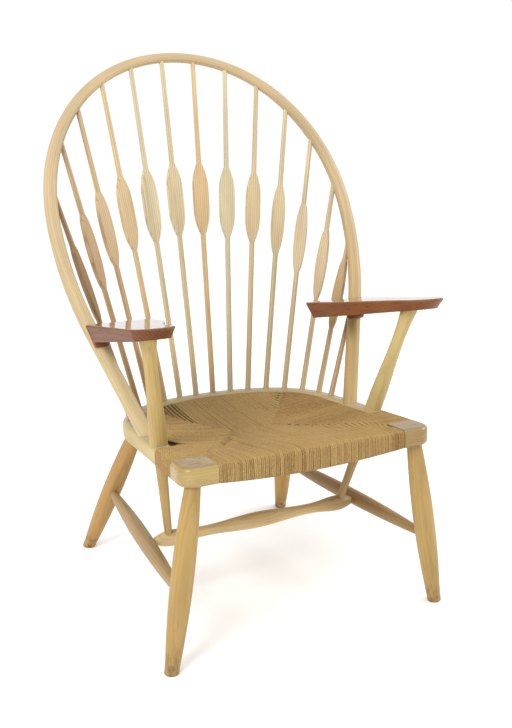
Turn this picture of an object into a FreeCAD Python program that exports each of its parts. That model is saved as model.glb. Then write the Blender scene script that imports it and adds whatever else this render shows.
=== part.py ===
import FreeCAD, Part
import math
import os

# A hoop-back lounge chair with sixteen spindles, dark arms and a woven cord seat.
# Millimetres and degrees. +Z is up, the chair faces -Y, and the origin is on the floor
# below the middle of the chair. Right is +X; left-hand pieces mirror the right-hand ones.

Vector = FreeCAD.Vector
Rotation = FreeCAD.Rotation
Placement = FreeCAD.Placement

# Seat frame. Its top is a plane that falls to the rear.
seat_height = 345.0
seat_tilt = 3.0
rail_width = 34.0
rail_depth = 35.5
rail_edge_radius = 9.0
front_rail_belly = 9.0
seat_rear_reach = 171.0
seat_rear_radius = 340.0
seat_bend_radius = 150.0
seat_half_width = 215.5
seat_side_splay = 3.8
seat_front_reach = 289.0
core_width = 26.0
core_depth = 27.5
core_edge_radius = 7.0
core_tenon_length = 14.0
core_tenon_width = 16.0
core_tenon_depth = 16.0
block_length = 57.0
block_inside = 29.5
block_corner_radius = 28.0

# Woven seat, as one dished panel with sleeves round the front and side cores.
cord_panel_thickness = 14.0
cord_dish_depth = 22.0
cord_dish_radius = 205.0
cord_dish_middle = -60.0
cord_nail_diameter = 2.0
cord_nail_head_diameter = 4.0
cord_nail_head_thickness = 1.0
cord_nail_grip = 9.0
cord_nail_reach = 5.0
cord_nail_pitch = 19.0
cord_nail_pairs = 10

# Back bow, in a plane that leans back. Heights in it start at the seat's top. Its upper half
# is an ellipse at a fullness of 1, and squarer below that.
bow_lean = 26.75
bow_foot_v = -54.0
bow_foot_outside = 5.0
bow_foot_splay = 18.0
bow_spread = 98.0
bow_widest_height = 410.5
bow_height = 755.5
bow_fullness = 0.973
bow_foot_diameter = 29.0
bow_side_diameter = 25.5
bow_crown_diameter = 19.2
bow_tenon_diameter = 19.0
bow_scribe_depth = 2.5
bow_tenon_depth = 24.0

# Back spindles. Pairs are counted from the middle of the back to the sides, and the spans
# between them are measured along the rail and along the bow.
spindle_pairs = 8
spindle_foot_spans = (39.2, 39.2, 39.2, 39.2, 40.2, 41.2, 43.2, 40.2)
spindle_top_spans = (70.0, 72.0, 75.5, 79.0, 81.0, 104.0, 127.0, 128.0)
paddle_heights = (409.0, 400.0, 389.0, 363.0, 325.0, 272.0, 213.0)
paddle_widths = (33.5, 33.5, 32.0, 29.0, 27.0, 25.5, 24.5)
spindle_foot_diameter = 12.0
spindle_neck_diameter = 10.5
spindle_top_diameter = 9.3
spindle_foot_depth = 13.0
spindle_tip_length = 56.0
spindle_tip_forward = 2.0
paddle_narrowing = 5.0
paddle_thickness = 10.0
paddle_length = 148.0
paddle_tip_length = 28.0
paddle_tip_fullness = 1.5

# Legs. The front ones stand in the corner blocks, behind the seat's front edge.
front_leg_in_block = 31.5
front_leg_from_edge = 24.0
front_foot_splay = 57.5
front_foot_from_edge = 6.5
rear_foot_x = 239.0
rear_foot_y = 264.0
rear_leg_from_middle = 183.0
leg_foot_diameter = 26.0
leg_middle_diameter = 39.0
leg_top_diameter = 27.0
leg_tenon_diameter = 22.0
leg_scribe_depth = 4.0
leg_widest = 150.0
leg_foot_edge_radius = 3.0
leg_foot_straight = 14.0
rear_tenon_depth = 12.0
wedge_thickness = 2.6
wedge_depth = 20.0

# Stretchers. Heights are where their axes meet the legs' axes.
side_stretcher_front_height = 138.0
side_stretcher_rear_height = 147.0
side_stretcher_diameter = 30.5
side_stretcher_end_diameter = 16.0
cross_stretcher_y = -71.0
cross_stretcher_diameter = 31.0
cross_neck_diameter = 23.0
cross_neck_from_post = 46.0
cross_swell_diameter = 30.0
cross_end_diameter = 13.0

# Arms, on a plane that rises to the front, and their posts. Outside and inside are measured
# from the bow's feet for the arms, and from the rail's sides for the posts.
arm_on_bow = 215.0
arm_tilt = 9.3
arm_length = 306.0
arm_front_outside_post = 6.0
arm_front_width = 76.0
arm_front_round = 46.0
arm_round_steps = 6
arm_rear_outside = 77.5
arm_rear_inside = 54.5
arm_side_outside = 82.5
arm_outer_from_bow = 110.0
arm_side_inside = 26.5
arm_inner_from_bow = 140.0
arm_rear_thickness = 33.0
arm_front_thickness = 18.0
arm_side_lean = 13.0
arm_front_lean = 40.0
arm_edge_radius = 3.0
arm_lap = 5.0
arm_boss_drop = 10.0
arm_boss_width = 46.0
arm_boss_radius = 5.0
cord_from_post = 6.0
post_foot_inside = 28.0
post_top_outside = 46.5
post_top_from_bow = 225.0
post_top_diameter = 31.0
post_waist_diameter = 27.5
post_neck_diameter = 23.0
post_neck_drop = 56.0
post_seat_diameter = 32.0
post_shaft_diameter = 22.0
post_tenon_diameter = 14.0
post_arm_tenon_diameter = 18.0
post_arm_tenon_depth = 9.0

# Dowels between the bow and the arms.
dowel_on_bow = 188.0
dowel_diameter = 10.0
dowel_in_bow = 10.0
dowel_in_arm = 20.0

# Clearances.
glue_gap = 0.1
cord_gap = 0.3

# Larger than the chair, for cutting planes, and smaller than any of its details.
far = 3000.0
tiny = 1e-3


def sin(angle):
    return math.sin(math.radians(angle))


def cos(angle):
    return math.cos(math.radians(angle))


def tan(angle):
    return math.tan(math.radians(angle))


# Places across and along the chair, from the seat's size.
block_inner_x = seat_half_width - block_inside
bow_foot_x = seat_half_width + bow_foot_outside
bow_half_width = bow_foot_x + bow_spread
front_leg_top_x = block_inner_x + front_leg_in_block
front_leg_top_v = front_leg_from_edge - seat_front_reach
front_foot_x = front_leg_top_x + front_foot_splay
front_foot_y = front_foot_from_edge - seat_front_reach
post_foot_x = seat_half_width - post_foot_inside
post_top_x = seat_half_width + post_top_outside
arm_front_x = post_top_x + arm_front_outside_post
arm_rear_outer_x = bow_foot_x + arm_rear_outside
arm_rear_inner_x = bow_foot_x - arm_rear_inside
arm_outer_x = bow_foot_x + arm_side_outside
arm_inner_x = bow_foot_x - arm_side_inside

# Frames of the seat, the bow and the arms.
SEAT = Placement(Vector(0, 0, seat_height), Rotation(Vector(1, 0, 0), -seat_tilt))
BOW = Placement(SEAT.multVec(Vector(0, bow_foot_v, 0)), Rotation(Vector(1, 0, 0), 90 - bow_lean))
ARM = Placement(BOW.multVec(Vector(0, arm_on_bow, 0)), Rotation(Vector(1, 0, 0), -arm_tilt))
SIDE_IN_SEAT = Placement(Vector(seat_half_width, 0, 0), Rotation(Vector(0, 0, 1), seat_side_splay))
SIDE = SEAT.multiply(SIDE_IN_SEAT)
RAIL_UNDERSIDE = SEAT.multiply(Placement(Vector(0, 0, -rail_depth), Rotation()))


def moved(shape, frame):
    """The shape, drawn in a frame's own axes, at its place in the chair."""
    result = shape.copy()
    result.Placement = frame.multiply(result.Placement)
    return result


def mirrored(shape):
    return shape.mirror(Vector(0, 0, 0), Vector(1, 0, 0))


def block(low, high):
    return Part.makeBox(high[0] - low[0], high[1] - low[1], high[2] - low[2], Vector(*low))


def below(frame, height=0.0):
    """Everything under a plane of a frame."""
    return moved(block((-far, -far, height - far), (far, far, height)), frame)


def rod(start, end, diameter):
    return Part.makeCylinder(diameter / 2, start.distanceToPoint(end), start, end - start)


def smooth_edge(points, first=None, last=None):
    curve = Part.BSplineCurve()
    if first is None:
        curve.interpolate(points)
    else:
        curve.interpolate(Points=points, InitialTangent=first, FinalTangent=last)
    return curve.toShape()


def turned(pieces):
    """A lathe-turned solid on +Z. Each piece is a list of (distance, diameter) stations:
    two stations are a straight run, more are one smooth curve."""
    start = pieces[0][0]
    finish = pieces[-1][-1]
    corners = [Vector(0, 0, start[0])]
    edges = []
    for stations in pieces:
        points = [Vector(diameter / 2, 0, distance) for distance, diameter in stations]
        if points[0].distanceToPoint(corners[-1]) > tiny:
            edges.append(Part.makeLine(corners[-1], points[0]))
        if len(points) == 2:
            edges.append(Part.makeLine(points[0], points[1]))
        else:
            edges.append(smooth_edge(points))
        corners.append(points[-1])
    tip = Vector(0, 0, finish[0])
    edges.append(Part.makeLine(corners[-1], tip))
    edges.append(Part.makeLine(tip, corners[0]))
    profile = Part.Face(Part.Wire(edges))
    return profile.revolve(Vector(0, 0, 0), Vector(0, 0, 1), 360)


def along(start, end, side=None):
    """The frame of a turned piece: +Z from start to end, +X as near to side as it can be."""
    axis = (end - start).normalize()
    if side is None:
        return Placement(start, Rotation(Vector(0, 0, 1), axis))
    return Placement(start, Rotation(side, axis.cross(side), axis, "ZXY"))


def at_height(start, end, height):
    return start + (end - start) * ((height - start.z) / (end.z - start.z))


def on_plane(start, end, frame):
    """Where the line from start to end meets a frame's own XY plane."""
    inverse = frame.inverse()
    first = inverse.multVec(start)
    last = inverse.multVec(end)
    return start + (end - start) * (first.z / (first.z - last.z))


# Centreline of the seat's bent rail, seen from above: a rear arc, two bends and two sides.
rear_centre_v = seat_rear_reach - seat_rear_radius
side_out = Vector(cos(seat_side_splay), sin(seat_side_splay), 0)
side_back = Vector(-sin(seat_side_splay), cos(seat_side_splay), 0)
bend_line = Vector(seat_half_width, 0, 0) - side_out * seat_bend_radius
to_line = bend_line - Vector(0, rear_centre_v, 0)
half_b = to_line.dot(side_back)
bend_travel = -half_b + math.sqrt(half_b ** 2 - to_line.dot(to_line)
                                  + (seat_rear_radius - seat_bend_radius) ** 2)
bend_centre = bend_line + side_back * bend_travel
rear_half_angle = math.degrees(math.atan2(bend_centre.x, bend_centre.y - rear_centre_v))
bend_end_angle = 90 - seat_side_splay
rear_half_length = math.radians(rear_half_angle) * seat_rear_radius
bend_length = math.radians(bend_end_angle - rear_half_angle) * seat_bend_radius


def on_circle(centre, radius, angle):
    """A point of a circle seen from above, at an angle from the rear towards +X."""
    return centre + Vector(sin(angle), cos(angle), 0) * radius


def rail_place(distance, offset=0.0):
    """A point of the rail at a distance along its centreline from the middle of the back,
    offset outwards, and the rail's direction there."""
    if distance < rear_half_length:
        angle = math.degrees(distance / seat_rear_radius)
        point = on_circle(Vector(0, rear_centre_v, 0), seat_rear_radius + offset, angle)
    elif distance < rear_half_length + bend_length:
        angle = rear_half_angle + math.degrees((distance - rear_half_length) / seat_bend_radius)
        point = on_circle(bend_centre, seat_bend_radius + offset, angle)
    else:
        angle = bend_end_angle
        point = on_circle(bend_centre, seat_bend_radius + offset, angle)
        point = point - side_back * (distance - rear_half_length - bend_length)
    return point, Vector(cos(angle), -sin(angle), 0)


def side_point(forward, offset=0.0):
    """A point of the rail's straight side, forward of the chair's middle along that side."""
    return Vector(seat_half_width, 0, 0) + side_out * offset - side_back * forward


def flip(point):
    return Vector(-point.x, point.y, point.z)


def rail_edges(offset, forward):
    """Edges of the rail's outline at an offset, from the right end round to the left end."""
    bend_end = on_circle(bend_centre, seat_bend_radius + offset, bend_end_angle)
    bend_angle = (bend_end_angle + rear_half_angle) / 2
    bend_middle = on_circle(bend_centre, seat_bend_radius + offset, bend_angle)
    bend_start = on_circle(bend_centre, seat_bend_radius + offset, rear_half_angle)
    rear_middle = Vector(0, seat_rear_reach + offset, 0)
    end = side_point(forward, offset)
    return [Part.makeLine(end, bend_end),
            Part.Arc(bend_end, bend_middle, bend_start).toShape(),
            Part.Arc(bend_start, rear_middle, flip(bend_start)).toShape(),
            Part.Arc(flip(bend_start), flip(bend_middle), flip(bend_end)).toShape(),
            Part.makeLine(flip(bend_end), flip(end))]


def rounded(shape, radius, wanted):
    """The shape with the edges that the test picks rounded."""
    return shape.makeFillet(radius, [edge for edge in shape.Edges if wanted(edge)])


def is_level(edge):
    return abs(edge.Vertexes[0].Z - edge.Vertexes[-1].Z) < tiny


# Centreline of the bow, in the bow's own plane, from the crown down to the right foot.
bow_bend = tan(bow_foot_splay / 2)
bow_straight = ((bow_half_width - bow_foot_x - bow_bend * bow_widest_height)
                / (tan(bow_foot_splay) - bow_bend))
bow_arc_radius = (bow_widest_height - bow_straight) / sin(bow_foot_splay)
bow_rise = bow_height - bow_widest_height
bow_upper_steps = 14
bow_lower_steps = 4


def bow_line():
    points = []
    for step in range(bow_upper_steps):
        angle = 90 * step / bow_upper_steps
        points.append(Vector(bow_half_width * sin(angle) ** bow_fullness,
                             bow_widest_height + bow_rise * cos(angle) ** bow_fullness, 0))
    for step in range(bow_lower_steps):
        angle = bow_foot_splay * step / bow_lower_steps
        points.append(Vector(bow_half_width - bow_arc_radius * (1 - cos(angle)),
                             bow_widest_height - bow_arc_radius * sin(angle), 0))
    for step in range(bow_lower_steps + 1):
        height = bow_straight * (1 - step / bow_lower_steps)
        points.append(Vector(bow_foot_x + height * tan(bow_foot_splay), height, 0))
    down = Vector(-sin(bow_foot_splay), -cos(bow_foot_splay), 0)
    return smooth_edge(points, Vector(1, 0, 0), down)


BOW_LINE = bow_line()
bow_stations = 26


def bow_place(distance):
    """A point of the bow's centreline at a distance along it from the crown, in the bow's
    plane, and its direction there. Past the foot it runs straight on."""
    reach = min(distance, BOW_LINE.Length)
    parameter = BOW_LINE.getParameterByLength(reach)
    direction = BOW_LINE.tangentAt(parameter)
    return BOW_LINE.valueAt(parameter) + direction * (distance - reach), direction


def bow_distance(height):
    """The distance along the bow from its crown down to a height, on the bow's lower half."""
    low = 0.0
    high = BOW_LINE.Length
    while high - low > tiny:
        middle = (low + high) / 2
        if bow_place(middle)[0].y > height:
            low = middle
        else:
            high = middle
    return low


def bow_diameter(height):
    if height < bow_widest_height:
        share = max(height, 0) / bow_widest_height
        return bow_foot_diameter + (bow_side_diameter - bow_foot_diameter) * share
    share = ((height - bow_widest_height) / bow_rise) ** 2
    return bow_side_diameter + (bow_crown_diameter - bow_side_diameter) * share


def bow_hoop(extra=0.0):
    """The bow as a tapering round bar that runs on past its feet."""
    sections = []
    reach = BOW_LINE.Length + rail_depth
    for step in range(-bow_stations, bow_stations + 1):
        point, direction = bow_place(reach * abs(step) / bow_stations)
        if step < 0:
            point = flip(point)
            direction = Vector(direction.x, -direction.y, 0)
        circle = Part.Wire(Part.makeCircle(bow_diameter(point.y) / 2 + extra))
        circle.Placement = along(point, point + direction, Vector(0, 0, 1))
        sections.append(circle)
    return moved(Part.makeLoft(sections, True), BOW)


# Places that several pieces share.
bow_foot = BOW.multVec(Vector(bow_foot_x, 0, 0))
bow_foot_up = BOW.Rotation.multVec(Vector(sin(bow_foot_splay), cos(bow_foot_splay), 0))
bow_tenon_tip = bow_foot - bow_foot_up * bow_tenon_depth
bow_tenon_root = bow_foot + bow_foot_up * bow_tenon_depth

front_foot = Vector(front_foot_x, front_foot_y, 0)
front_leg_top = SEAT.multVec(Vector(front_leg_top_x, front_leg_top_v, 0))
rear_foot = Vector(rear_foot_x, rear_foot_y, 0)
rear_tenon_middle = Vector(0, 0, rear_tenon_depth / 2 - rail_depth)
rear_leg_top = SEAT.multVec(rail_place(rear_leg_from_middle)[0] + rear_tenon_middle)

stretcher_front = at_height(front_foot, front_leg_top, side_stretcher_front_height)
stretcher_rear = at_height(rear_foot, rear_leg_top, side_stretcher_rear_height)
cross_share = (cross_stretcher_y - stretcher_front.y) / (stretcher_rear.y - stretcher_front.y)
cross_end = stretcher_front + (stretcher_rear - stretcher_front) * cross_share

underside_angle = math.degrees(math.atan2(arm_rear_thickness - arm_front_thickness, arm_length))
ARM_UNDERSIDE = ARM.multiply(Placement(Vector(0, 0, -arm_rear_thickness),
                                       Rotation(Vector(1, 0, 0), -underside_angle)))
post_foot = Vector(post_foot_x, cross_end.y, cross_end.z)
post_top = ARM_UNDERSIDE.multVec(Vector(post_top_x, -post_top_from_bow, 0))
post_seat = on_plane(post_foot, post_top, SEAT)

bare_end = post_seat_diameter / 2 + cord_from_post - SIDE.inverse().multVec(post_seat).y
block_rear = (seat_front_reach - block_length) / cos(seat_side_splay)
core_margin = (rail_width - core_width) / 2
core_low = -(rail_depth + core_depth) / 2
core_high = core_low + core_depth
tenon_low = -(rail_depth + core_tenon_depth) / 2
tenon_high = tenon_low + core_tenon_depth


def bored(shape, start, end, diameter):
    """The shape with a hole for a rod of this diameter, and a second one on the other side."""
    hole = rod(start, end, diameter + 2 * glue_gap)
    return shape.cut(hole).cut(mirrored(hole))


def spindle_line(pair):
    """Foot on the rail's top, tip just ahead of the bow's centreline, and the way the paddle is wide."""
    foot, rail_way = rail_place(spindle_foot_spans[0] / 2 + sum(spindle_foot_spans[1:pair]))
    top, bow_way = bow_place(spindle_top_spans[0] / 2 + sum(spindle_top_spans[1:pair]))
    wide = SEAT.Rotation.multVec(rail_way) + BOW.Rotation.multVec(bow_way)
    top = top + Vector(0, 0, spindle_tip_forward)
    return SEAT.multVec(foot), BOW.multVec(top), wide


def spindle(pair):
    foot, tip, wide = spindle_line(pair)
    length = foot.distanceToPoint(tip)
    shaft_foot = (0.0, spindle_foot_diameter)
    shaft_top = (length - spindle_tip_length, spindle_top_diameter)
    socket = [(-spindle_foot_depth, spindle_foot_diameter), shaft_foot]
    end = [shaft_top, (length, spindle_top_diameter)]
    if pair > len(paddle_heights):
        body = turned([socket, [shaft_foot, shaft_top], end])
    else:
        middle = paddle_heights[pair - 1]
        width = paddle_widths[pair - 1]
        half = paddle_length / 2
        shoulder = (half - paddle_tip_length, width - paddle_narrowing)
        tip_diameter = (spindle_neck_diameter + shoulder[1]) / 2 + paddle_tip_fullness
        rise = [(half, spindle_neck_diameter), (half - paddle_tip_length / 2, tip_diameter), shoulder]
        swell = [(middle - reach, diameter) for reach, diameter in rise]
        swell = swell + [(middle, width)] + [(middle + reach, diameter) for reach, diameter in rise[::-1]]
        body = turned([socket, [shaft_foot, swell[0]], swell, [swell[-1], shaft_top], end])
        flat = block((-far, paddle_thickness / 2, middle - half), (far, far, middle + half))
        body = body.cut(flat).cut(flat.mirror(Vector(0, 0, 0), Vector(0, 1, 0)))
    return moved(body, along(foot, tip, wide))


def back_bow():
    shape = bow_hoop().cut(below(SEAT, -bow_scribe_depth)).cut(moved(rail_bar(glue_gap), SEAT))
    tenon = rod(bow_tenon_tip, bow_tenon_root, bow_tenon_diameter)
    shape = shape.fuse(tenon).fuse(mirrored(tenon))
    for pair in range(1, spindle_pairs + 1):
        foot, tip, wide = spindle_line(pair)
        shape = bored(shape, foot, tip, spindle_top_diameter)
    start, end = dowel_line()
    return bored(shape, start, end, dowel_diameter)


def dowel_line():
    """The right dowel's ends, in the bow and in the arm."""
    centre = bow_place(bow_distance(dowel_on_bow))[0]
    front = bow_diameter(dowel_on_bow) / 2
    start = centre + Vector(0, 0, front - dowel_in_bow)
    end = centre + Vector(0, 0, front + dowel_in_arm)
    return BOW.multVec(start), BOW.multVec(end)


def arm_dowels():
    start, end = dowel_line()
    dowel = rod(start, end, dowel_diameter)
    return Part.makeCompound([dowel, mirrored(dowel)])


def rail_bar(extra=0.0):
    """The bent rail in the seat's own axes, grown by extra, without its cores and holes."""
    half = rail_width / 2 + extra
    right_end = Part.makeLine(side_point(bare_end, -half), side_point(bare_end, half))
    left_end = Part.makeLine(flip(side_point(bare_end, half)), flip(side_point(bare_end, -half)))
    edges = rail_edges(half, bare_end) + [left_end] + rail_edges(-half, bare_end) + [right_end]
    plan = Part.Face(Part.Wire(Part.__sortEdges__(edges)))
    shape = plan.extrude(Vector(0, 0, -rail_depth - 2 * extra)).translated(Vector(0, 0, extra))
    return rounded(shape, rail_edge_radius + extra,
                   lambda edge: is_level(edge) and edge.Length > 2 * half + tiny)


def side_core(front, rear, extra=0.0):
    """The core of a wrapped side, in that side's own axes, grown by extra."""
    half = core_width / 2 + extra
    core = block((-half, -front, core_low - extra), (half, -rear, core_high + extra))
    return rounded(core, core_edge_radius + extra, lambda edge: edge.BoundBox.YLength > half)


def seat_back_rail():
    half = core_tenon_width / 2
    tenon = block((-half, -block_rear - core_tenon_length, tenon_low), (half, -block_rear, tenon_high))
    end = moved(side_core(block_rear, bare_end).fuse(tenon), SIDE_IN_SEAT)
    shape = moved(rail_bar().fuse(end).fuse(mirrored(end)).removeSplitter(), SEAT)
    for pair in range(1, spindle_pairs + 1):
        foot, tip, wide = spindle_line(pair)
        sunk = foot - (tip - foot).normalize() * spindle_foot_depth
        shape = bored(shape, sunk, foot + (foot - sunk), spindle_foot_diameter)
    shape = bored(shape, bow_tenon_tip, bow_tenon_root, bow_tenon_diameter)
    shape = bored(shape, post_foot, post_top, post_shaft_diameter)
    shape = bored(shape, rear_foot, rear_leg_tip(), leg_tenon_diameter)
    for start, end in nail_lines():
        shape = shape.cut(rod(start, end, cord_nail_diameter + 2 * glue_gap))
    return shape


def rear_leg_tip():
    socket_top = RAIL_UNDERSIDE.multiply(Placement(Vector(0, 0, rear_tenon_depth), Rotation()))
    return on_plane(rear_foot, rear_leg_top, socket_top)


def corner_block(extra=0.0):
    """The right corner block in the seat's own axes without its holes, deeper by extra."""
    outer_rear = side_point(block_rear, rail_width / 2)
    inner_rear = side_point(block_rear, (block_inner_x - side_point(block_rear).x) / side_out.x)
    reach = (seat_front_reach + outer_rear.y) / side_back.y
    outer_front = outer_rear - side_back * reach
    inner_front = Vector(block_inner_x, -seat_front_reach, 0)
    corners = [outer_rear, outer_front, inner_front, inner_rear]
    plan = Part.Face(Part.makePolygon(corners + [outer_rear]))
    shape = plan.extrude(Vector(0, 0, -rail_depth - extra))

    def is_front_corner(edge):
        return not is_level(edge) and edge.distToShape(Part.Vertex(outer_front))[0] < tiny

    def is_outer(edge):
        middle = edge.valueAt((edge.FirstParameter + edge.LastParameter) / 2)
        inside = middle.x < (block_inner_x + outer_rear.x) / 2 and middle.y > 1 - seat_front_reach
        on_rear = (middle - inner_rear).dot(side_back) > -tiny
        return is_level(edge) and not inside and not on_rear

    shape = rounded(shape, block_corner_radius, is_front_corner)
    shape = rounded(shape, rail_edge_radius, is_outer)
    return shape


def corner_block_right():
    half = core_tenon_width / 2 + glue_gap
    mortise = block((-half, -block_rear - core_tenon_length - glue_gap, tenon_low - glue_gap),
                    (half, -block_rear, tenon_high + glue_gap))
    shape = corner_block().cut(moved(mortise, SIDE_IN_SEAT)).cut(front_rail_bar(glue_gap))
    shape = moved(shape, SEAT)
    return shape.cut(rod(front_foot, front_leg_top + (front_leg_top - front_foot),
                         leg_tenon_diameter + 2 * glue_gap))


def bellied(half, front, rear, low, high):
    """A bar across the chair whose underside hangs lower in the middle."""
    top_left = Vector(-half, front, high)
    top_right = Vector(half, front, high)
    low_right = Vector(half, front, low)
    low_left = Vector(-half, front, low)
    underside = Part.Arc(low_right, Vector(0, front, low - front_rail_belly), low_left)
    outline = Part.Wire([Part.makeLine(top_left, top_right), Part.makeLine(top_right, low_right),
                         underside.toShape(), Part.makeLine(low_left, top_left)])
    return Part.Face(outline).extrude(Vector(0, rear - front, 0))


def is_lengthwise(edge):
    return edge.BoundBox.XLength > block_inner_x


def front_core(extra=0.0):
    """The core of the wrapped front in the seat's own axes, grown by extra."""
    front = core_margin - seat_front_reach
    core = bellied(block_inner_x + extra, front - extra, front + core_width + extra,
                   core_low - extra, core_high + extra)
    return rounded(core, core_edge_radius + extra, is_lengthwise)


def front_rail_bar(extra=0.0):
    """The front rail in the seat's own axes: a core with a tenon at each end, grown by extra."""
    middle = rail_width / 2 - seat_front_reach
    half = core_tenon_width / 2 + extra
    reach = block_inner_x + core_tenon_length + extra
    tenon = block((-reach, middle - half, tenon_low - extra), (reach, middle + half, tenon_high + extra))
    return front_core().fuse(tenon)


def cord_seat():
    inner = -(rail_width / 2 + cord_gap)
    front_v = seat_front_reach - rail_width / 2
    edges = rail_edges(inner, front_v / cos(seat_side_splay))
    ends = (edges[-1].Vertexes[-1].Point, edges[0].Vertexes[0].Point)
    plan = Part.Face(Part.Wire(edges + [Part.makeLine(ends[0], ends[1])]))
    slab = plan.extrude(Vector(0, 0, -cord_panel_thickness))
    bowl_depth = cord_dish_depth + 2 * cord_panel_thickness
    dish = (cord_dish_radius ** 2 + cord_dish_depth ** 2) / (2 * cord_dish_depth)
    centre = Vector(0, cord_dish_middle, dish - cord_dish_depth)
    bowl = plan.extrude(Vector(0, 0, -bowl_depth))
    bowl = bowl.common(Part.makeSphere(dish + cord_panel_thickness, centre))
    overlap = cord_panel_thickness
    front = bellied(block_inner_x - cord_gap, -seat_front_reach, rail_width + overlap - seat_front_reach,
                    -rail_depth, 0)
    front = rounded(front, rail_edge_radius,
                    lambda edge: edge.BoundBox.YMax < tiny - seat_front_reach and is_lengthwise(edge))
    half = rail_width / 2
    side = block((-half - overlap, cord_gap - block_rear, -rail_depth), (half, -bare_end - cord_gap, 0))
    side = rounded(side, rail_edge_radius,
                   lambda edge: edge.BoundBox.XMin > half - tiny and is_level(edge))
    side = moved(side, SIDE_IN_SEAT)
    shape = slab.fuse(bowl).fuse(front).fuse(side).fuse(mirrored(side))
    core = moved(side_core(block_rear + block_length, 0, cord_gap), SIDE_IN_SEAT)
    corner = corner_block().makeOffsetShape(cord_gap, tiny, join=2)
    for cutter in (core, mirrored(core), front_core(cord_gap), corner, mirrored(corner)):
        shape = shape.cut(cutter)
    shape = shape.cut(Part.makeSphere(dish, centre)).removeSplitter()
    return moved(shape, SEAT)


def nail_lines():
    """Start inside the rail and end under the cord's edge, of every cord nail."""
    height = Vector(0, 0, -(cord_panel_thickness + cord_gap + cord_nail_head_diameter / 2))
    lines = []
    for number in range(cord_nail_pairs):
        distance = cord_nail_pitch * (number + 0.5)
        inner = rail_place(distance, cord_nail_grip - rail_width / 2)[0] + height
        outer = rail_place(distance, -cord_nail_reach - rail_width / 2)[0] + height
        lines.append((SEAT.multVec(inner), SEAT.multVec(outer)))
        lines.append((SEAT.multVec(flip(inner)), SEAT.multVec(flip(outer))))
    return lines


def cord_nails():
    nails = []
    for start, end in nail_lines():
        back = (start - end).normalize()
        head = rod(end, end + back * cord_nail_head_thickness, cord_nail_head_diameter)
        nails.append(rod(start, end, cord_nail_diameter).fuse(head).removeSplitter())
    return Part.makeCompound(nails)


def leg(foot, entry, tip, carried):
    """A cigar-shaped leg with a flat foot on the floor, a top scribed to what it carries, and a
    round tenon from its entry to its tip."""
    length = foot.distanceToPoint(entry)
    spare = leg_foot_diameter
    runs = [[(-spare, leg_foot_diameter), (leg_foot_straight, leg_foot_diameter)],
            [(leg_foot_straight, leg_foot_diameter), (leg_widest, leg_middle_diameter),
             (length, leg_top_diameter)],
            [(length, leg_top_diameter), (length + spare, leg_top_diameter)]]
    shape = moved(turned(runs), along(foot, entry)).cut(below(Placement()))
    shape = rounded(shape, leg_foot_edge_radius, lambda edge: edge.BoundBox.ZMax < tiny)
    shape = shape.common(below(RAIL_UNDERSIDE, leg_scribe_depth)).cut(moved(carried, SEAT))
    way = (tip - foot).normalize()
    return shape.fuse(rod(entry - way * spare, tip, leg_tenon_diameter)).removeSplitter()


def front_leg():
    """The leg with its tenon flush with the seat's top, and the wedge that spreads the tenon."""
    entry = on_plane(front_foot, front_leg_top, RAIL_UNDERSIDE)
    over = front_leg_top + (front_leg_top - entry)
    shape = leg(front_foot, entry, over, corner_block(glue_gap)).common(below(SEAT))
    shape = shape.cut(rod(stretcher_front, stretcher_rear, side_stretcher_end_diameter + 2 * glue_gap))
    half = wedge_thickness / 2
    corners = [Vector(-far, -half, 0), Vector(-far, half, 0), Vector(-far, 0, -wedge_depth)]
    prism = Part.Face(Part.makePolygon(corners + corners[:1])).extrude(Vector(2 * far, 0, 0))
    prism = moved(prism, SEAT.multiply(Placement(Vector(0, front_leg_top_v, 0), Rotation())))
    return shape.cut(prism), shape.common(prism)


def rear_leg():
    entry = on_plane(rear_foot, rear_leg_top, RAIL_UNDERSIDE)
    shape = leg(rear_foot, entry, rear_leg_tip(), rail_bar(glue_gap))
    return shape.cut(rod(stretcher_rear, stretcher_front, side_stretcher_end_diameter + 2 * glue_gap))


def side_stretcher():
    length = stretcher_front.distanceToPoint(stretcher_rear)
    run = leg_middle_diameter / 2
    ends = side_stretcher_end_diameter
    shape = turned([[(0.0, ends), (run, ends)],
                    [(run, ends), (length / 2, side_stretcher_diameter), (length - run, ends)],
                    [(length - run, ends), (length, ends)]])
    shape = moved(shape, along(stretcher_front, stretcher_rear))
    return shape.cut(rod(cross_end, flip(cross_end), cross_end_diameter + 2 * glue_gap))


def cross_stretcher():
    length = 2 * cross_end.x
    run = side_stretcher_diameter / 2
    post = cross_end.x - post_foot_x
    neck = post + cross_neck_from_post
    ends = cross_end_diameter
    middle = [(run, ends), (post, cross_swell_diameter), (neck, cross_neck_diameter),
              (length / 2, cross_stretcher_diameter)]
    middle = middle + [(length - distance, diameter) for distance, diameter in middle[2::-1]]
    shape = turned([[(0.0, ends), (run, ends)], middle, [(length - run, ends), (length, ends)]])
    shape = moved(shape, along(flip(cross_end), cross_end))
    return bored(shape, post_foot, post_top, post_tenon_diameter)


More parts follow.
